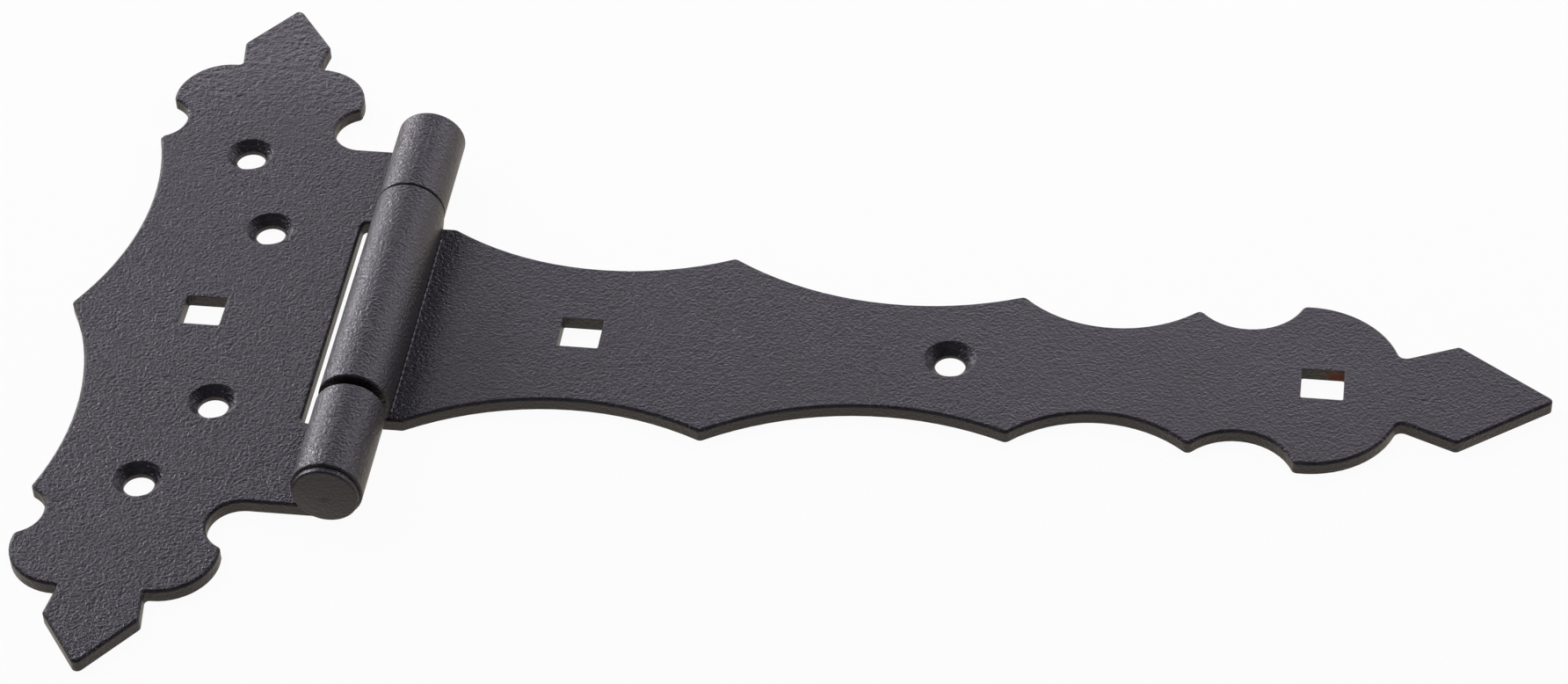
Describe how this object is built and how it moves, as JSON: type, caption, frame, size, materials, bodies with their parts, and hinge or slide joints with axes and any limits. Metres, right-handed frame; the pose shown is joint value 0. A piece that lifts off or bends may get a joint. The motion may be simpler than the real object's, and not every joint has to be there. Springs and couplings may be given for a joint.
{
  "type": "gate hinge",
  "caption": "Black T-shaped gate hinge: a scalloped strap with a spear tip, pinned to an ornamental cross leaf, with square bolt holes and countersunk screw holes.",
  "frame": {"origin": "on the plane of the leaves' backs, under the pin's axis, midway along the cross leaf", "axes": "+X along the strap towards its tip, +Y along the pin, +Z out of the face, away from the post and the gate"},
  "size_m": [0.3192, 0.2106, 0.0151],
  "materials": {
    "powder_coat": "black powder coat, satin, with a fine grain"
  },
  "bodies": {
    "post_leaf": {"cross_leaf": "powder_coat", "hinge_pin": "powder_coat"},
    "gate_strap": {"strap_leaf": "powder_coat"}
  },
  "joints": [
    {"name": "strap_swing", "type": "hinge", "parent": "post_leaf", "child": "gate_strap", "pos_m": [0, 0, 0.00758], "axis": [0, -1, 0], "range_deg": [-90, 180]}
  ]
}
